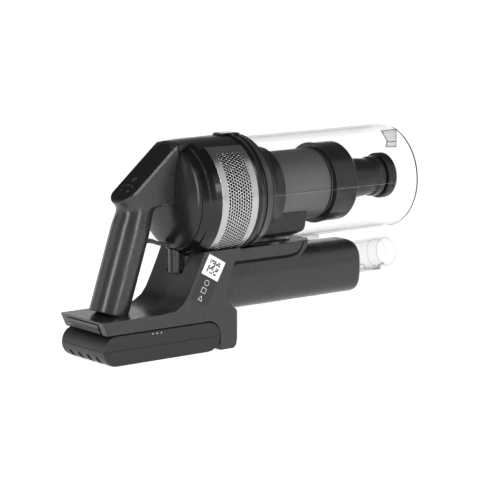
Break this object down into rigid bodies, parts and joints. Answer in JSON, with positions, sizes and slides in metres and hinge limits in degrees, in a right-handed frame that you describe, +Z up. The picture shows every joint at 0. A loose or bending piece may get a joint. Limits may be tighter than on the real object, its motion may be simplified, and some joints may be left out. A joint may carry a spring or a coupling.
{
  "type": "handheld vacuum",
  "caption": "Cordless handheld vacuum: battery foot, round grip with slanted display head, perforated exhaust ring, clear dust bin with cyclone, and inlet pipe below.",
  "frame": {"origin": "middle of the battery's flat underside, on the surface the vacuum stands on", "axes": "+X towards the nozzle along the bin and pipe, +Y to the vacuum's left side, +Z up"},
  "size_m": [0.3955, 0.1212, 0.2134],
  "materials": {
    "body_dark": "satin moulded, fine texture",
    "battery_dark": "matt moulded, fine texture",
    "gloss_black": "polished",
    "silver": "satin metallic",
    "cyclone_dark": "satin moulded",
    "mesh": "fine woven mesh on a light frame",
    "clear": "clear polished",
    "rubber": "matt",
    "steel": "bright",
    "motor_alloy": "machined",
    "brass": "bright",
    "board": "lacquered board",
    "filter_paper": "pleated felt",
    "foam": "open foam",
    "bracket": "satin",
    "cell": null,
    "winding": "enamelled copper on laminations"
  },
  "bodies": {
    "vacuum_body": {"grip_shell_right": "body_dark", "grip_shell_left": "body_dark", "head_shell": "body_dark", "finger_guard": "body_dark", "body_shell_right": "body_dark", "body_shell_left": "body_dark", "battery_rail": "body_dark", "neck_post": "body_dark", "inlet_housing": "body_dark", "inlet_cover_right": "body_dark", "inlet_cover_left": "body_dark", "air_duct": "body_dark", "display_panel": "gloss_black", "rear_cover": "gloss_black", "front_collar": "gloss_black", "exhaust_grille": "silver", "motor_housing": "cyclone_dark", "top_cover": "cyclone_dark", "diffuser": "cyclone_dark", "fan_shroud": "cyclone_dark", "cyclone_base": "cyclone_dark", "inlet_tube": "clear", "bin_seal": "rubber", "port_seal": "rubber", "power_lead": "rubber", "latch_spring": "steel", "latch_pin": "steel", "flap_pin": "steel", "body_screw_upper": "steel", "body_screw_lower": "steel", "rear_bearing": "steel", "front_bearing": "steel", "motor_can": "motor_alloy", "dock_terminals": "brass", "display_board": "board", "control_board": "board", "post_filter": "filter_paper", "pre_filter": "foam", "column_bracket": "bracket", "stator": "winding"},
    "battery": {"battery_case_lower": "battery_dark", "battery_case_upper": "battery_dark", "cell_pack": "cell", "battery_board": "board", "battery_terminals": "brass", "battery_release_spring": "steel"},
    "release_key": {"battery_release_button": "body_dark"},
    "power_key": {"power_button": "gloss_black"},
    "minus_key": {"minus_button": "gloss_black"},
    "plus_key": {"plus_button": "gloss_black"},
    "bin": {"dust_bin": "clear"},
    "filter_screen": {"mesh_screen": "mesh", "cyclone_collar": "cyclone_dark", "inner_cone": "cyclone_dark", "dust_tube": "cyclone_dark", "dust_knob": "cyclone_dark"},
    "motor_rotor": {"rotor": "steel", "impeller": "motor_alloy"},
    "flap": {"inlet_flap": "rubber"},
    "latch": {"bin_latch": "gloss_black"}
  },
  "joints": [
    {"name": "battery_slide", "type": "slide", "parent": "vacuum_body", "child": "battery", "axis": [-1, 0, 0], "range_m": [0, 0.14]},
    {"name": "release_button_press", "type": "slide", "parent": "battery", "child": "release_key", "axis": [1, 0, 0], "range_m": [0, 0.0025], "stiffness_N_per_m": 900, "deforming": ["battery_release_spring"]},
    {"name": "power_button_press", "type": "slide", "parent": "vacuum_body", "child": "power_key", "axis": [0.6441, 0, -0.7649], "range_m": [0, 0.0008], "stiffness_N_per_m": 1500},
    {"name": "minus_button_press", "type": "slide", "parent": "vacuum_body", "child": "minus_key", "axis": [0.6441, 0, -0.7649], "range_m": [0, 0.0008], "stiffness_N_per_m": 1500},
    {"name": "plus_button_press", "type": "slide", "parent": "vacuum_body", "child": "plus_key", "axis": [0.6441, 0, -0.7649], "range_m": [0, 0.0008], "stiffness_N_per_m": 1500},
    {"name": "bin_slide", "type": "slide", "parent": "vacuum_body", "child": "bin", "axis": [1, 0, 0], "range_m": [0, 0.225]},
    {"name": "screen_twist", "type": "hinge", "parent": "vacuum_body", "child": "filter_screen", "pos_m": [0.2, 0, 0.1526], "axis": [1, 0, 0], "range_deg": [0, 30]},
    {"name": "motor_spin", "type": "hinge", "parent": "vacuum_body", "child": "motor_rotor", "pos_m": [0.065, 0, 0.1526], "axis": [1, 0, 0], "continuous": true},
    {"name": "flap_swing", "type": "hinge", "parent": "vacuum_body", "child": "flap", "pos_m": [0.1722, 0, 0.0909], "axis": [0, 1, 0], "range_deg": [0, 60], "stiffness_Nm_per_rad": 0.004, "springref_deg": -8.59},
    {"name": "latch_rock", "type": "hinge", "parent": "vacuum_body", "child": "latch", "pos_m": [0.107, 0, 0.2108], "axis": [0, -1, 0], "range_deg": [0, 8], "stiffness_Nm_per_rad": 0.25, "springref_deg": -2.86}
  ]
}
